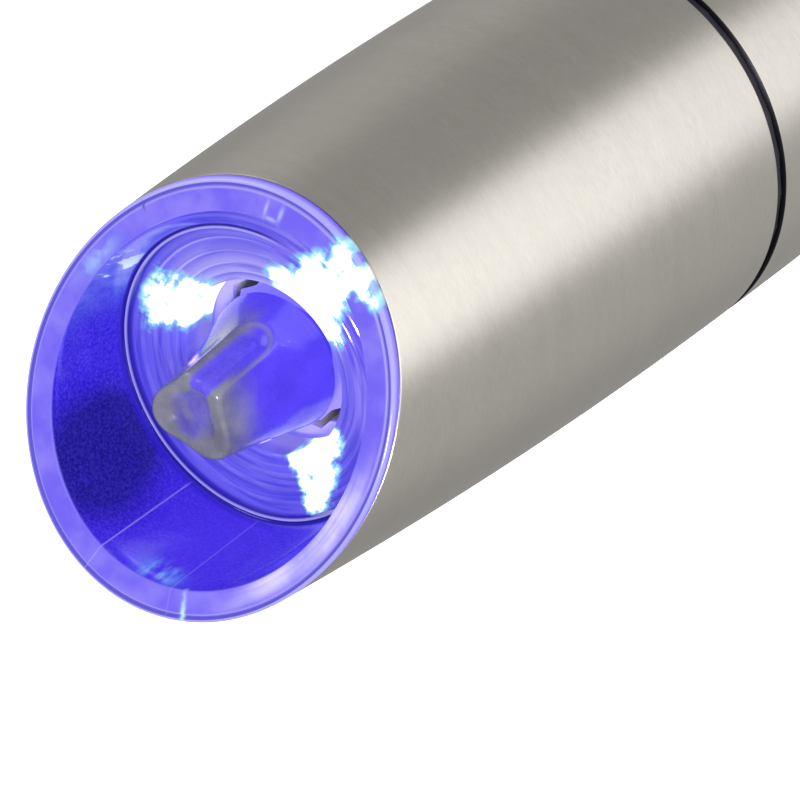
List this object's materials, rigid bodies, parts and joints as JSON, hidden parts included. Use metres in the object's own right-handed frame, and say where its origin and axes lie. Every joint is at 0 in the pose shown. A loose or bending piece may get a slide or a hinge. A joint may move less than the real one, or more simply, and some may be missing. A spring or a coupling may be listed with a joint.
{
  "type": "electric pepper mill",
  "caption": "Battery-driven pepper mill with brushed steel sleeves, a black joint ring and a clear slant-cut mouth lit from inside round a lobed coarseness knob.",
  "frame": {"origin": "centre of the foot, on the surface the mill stands on", "axes": "+Z from the foot to the mouth, +Y towards the high side of the slanted mouth"},
  "size_m": [0.0544, 0.0544, 0.2053],
  "materials": {
    "brushed_steel": "fine brushing round the sleeve",
    "bright_steel": "bright",
    "black_plastic": "fine moulded texture",
    "grey_plastic": "moulded",
    "white_plastic": "moulded",
    "clear_acrylic": "clear moulded acrylic",
    "knob_plastic": "satin",
    "ceramic": "unglazed",
    "brass": "plain",
    "rubber": "matte",
    "cell_jacket": "printed sleeve with no mark",
    "board_green": "solder resist",
    "lamp_blue": "lit blue lamp"
  },
  "bodies": {
    "rear_casing": {"rear_sleeve": "brushed_steel", "rear_liner": "black_plastic", "base_plate": "black_plastic", "foot_ring": "rubber"},
    "power_unit": {"battery_frame": "grey_plastic", "battery_cell_1": "cell_jacket", "battery_cell_2": "cell_jacket", "battery_cell_3": "cell_jacket", "battery_cell_4": "cell_jacket", "battery_cell_5": "cell_jacket", "battery_cell_6": "cell_jacket", "rear_contact_1": "brass", "rear_contact_2": "brass", "rear_contact_3": "brass", "front_contact_1": "brass", "front_contact_2": "brass", "terminal_plus": "brass", "terminal_minus": "brass", "circuit_board": "board_green", "tilt_switch": "bright_steel", "motor_can": "bright_steel", "motor_end_cap": "white_plastic", "motor_screw_1": "bright_steel", "motor_screw_2": "bright_steel", "gear_housing": "grey_plastic", "gearbox_cover": "grey_plastic", "cover_screw_1": "bright_steel", "cover_screw_2": "bright_steel", "output_bush": "brass", "bayonet_collar": "black_plastic", "contact_pin_plus": "brass", "contact_pin_minus": "brass"},
    "tilt_ball": {"tilt_ball": "bright_steel"},
    "armature": {"armature": "bright_steel", "sun_pinion": "brass"},
    "first_carrier": {"first_carrier": "grey_plastic"},
    "first_planet_1": {"first_planet_1": "white_plastic"},
    "first_planet_2": {"first_planet_2": "white_plastic"},
    "first_planet_3": {"first_planet_3": "white_plastic"},
    "second_carrier": {"second_carrier": "grey_plastic"},
    "second_planet_1": {"second_planet_1": "white_plastic"},
    "second_planet_2": {"second_planet_2": "white_plastic"},
    "second_planet_3": {"second_planet_3": "white_plastic"},
    "joint_ring": {"joint_ring": "black_plastic"},
    "head": {"front_sleeve": "brushed_steel", "hopper_liner": "black_plastic", "shaft_spider": "grey_plastic", "fixed_burr": "ceramic", "lamp_board": "board_green", "lamp_1": "lamp_blue", "lamp_2": "lamp_blue", "lamp_3": "lamp_blue", "lamp_lead_plus": "brass", "lamp_lead_minus": "brass", "bell": "clear_acrylic"},
    "drive_shaft": {"drive_shaft": "bright_steel", "burr_spring": "bright_steel"},
    "turning_burr": {"turning_burr": "ceramic"},
    "knob": {"coarseness_knob": "knob_plastic"}
  },
  "joints": [
    {"name": "unit_slide", "type": "slide", "parent": "rear_casing", "child": "power_unit", "axis": [0, 0, 1], "range_m": [0, 0.105]},
    {"name": "ball_slide", "type": "slide", "parent": "power_unit", "child": "tilt_ball", "axis": [0, 0, 1], "range_m": [0, 0.0045]},
    {"name": "motor_spin", "type": "hinge", "parent": "power_unit", "child": "armature", "pos_m": [0, 0, 0.08], "axis": [0, 0, 1], "continuous": true},
    {"name": "first_carrier_spin", "type": "hinge", "parent": "power_unit", "child": "first_carrier", "pos_m": [0, 0, 0.1015], "axis": [0, 0, 1], "continuous": true},
    {"name": "first_planet_1_spin", "type": "hinge", "parent": "first_carrier", "child": "first_planet_1", "pos_m": [0.0075, 0, 0.0982], "axis": [0, 0, 1], "continuous": true},
    {"name": "first_planet_2_spin", "type": "hinge", "parent": "first_carrier", "child": "first_planet_2", "pos_m": [-0.00375, 0.0065, 0.0982], "axis": [0, 0, 1], "continuous": true},
    {"name": "first_planet_3_spin", "type": "hinge", "parent": "first_carrier", "child": "first_planet_3", "pos_m": [-0.00375, -0.0065, 0.0982], "axis": [0, 0, 1], "continuous": true},
    {"name": "second_carrier_spin", "type": "hinge", "parent": "power_unit", "child": "second_carrier", "pos_m": [0, 0, 0.108], "axis": [0, 0, 1], "continuous": true},
    {"name": "second_planet_1_spin", "type": "hinge", "parent": "second_carrier", "child": "second_planet_1", "pos_m": [0.0075, 0, 0.1048], "axis": [0, 0, 1], "continuous": true},
    {"name": "second_planet_2_spin", "type": "hinge", "parent": "second_carrier", "child": "second_planet_2", "pos_m": [-0.00375, 0.0065, 0.1048], "axis": [0, 0, 1], "continuous": true},
    {"name": "second_planet_3_spin", "type": "hinge", "parent": "second_carrier", "child": "second_planet_3", "pos_m": [-0.00375, -0.0065, 0.1048], "axis": [0, 0, 1], "continuous": true},
    {"name": "ring_twist", "type": "hinge", "parent": "power_unit", "child": "joint_ring", "pos_m": [0, 0, 0.1076], "axis": [0, 0, 1], "range_deg": [0, 45]},
    {"name": "head_slide", "type": "slide", "parent": "joint_ring", "child": "head", "axis": [0, 0, 1], "range_m": [0, 0.08]},
    {"name": "shaft_spin", "type": "hinge", "parent": "head", "child": "drive_shaft", "pos_m": [0, 0, 0.15], "axis": [0, 0, 1], "continuous": true},
    {"name": "burr_slide", "type": "slide", "parent": "drive_shaft", "child": "turning_burr", "axis": [0, 0, 1], "range_m": [0, 0.0008333], "deforming": ["burr_spring"]},
    {"name": "knob_turn", "type": "hinge", "parent": "turning_burr", "child": "knob", "pos_m": [0, 0, 0.187], "axis": [0, 0, 1], "range_deg": [0, 300]}
  ],
  "couplings": [
    {"joint": "first_carrier_spin", "follows": "motor_spin", "ratio": 0.2},
    {"joint": "first_planet_1_spin", "follows": "motor_spin", "ratio": -0.53333},
    {"joint": "first_planet_2_spin", "follows": "motor_spin", "ratio": -0.53333},
    {"joint": "first_planet_3_spin", "follows": "motor_spin", "ratio": -0.53333},
    {"joint": "second_carrier_spin", "follows": "motor_spin", "ratio": 0.04},
    {"joint": "second_planet_1_spin", "follows": "motor_spin", "ratio": -0.10667},
    {"joint": "second_planet_2_spin", "follows": "motor_spin", "ratio": -0.10667},
    {"joint": "second_planet_3_spin", "follows": "motor_spin", "ratio": -0.10667},
    {"joint": "shaft_spin", "follows": "motor_spin", "ratio": 0.04},
    {"joint": "knob_turn", "follows": "burr_slide", "rad_per_m": 6283.2}
  ]
}
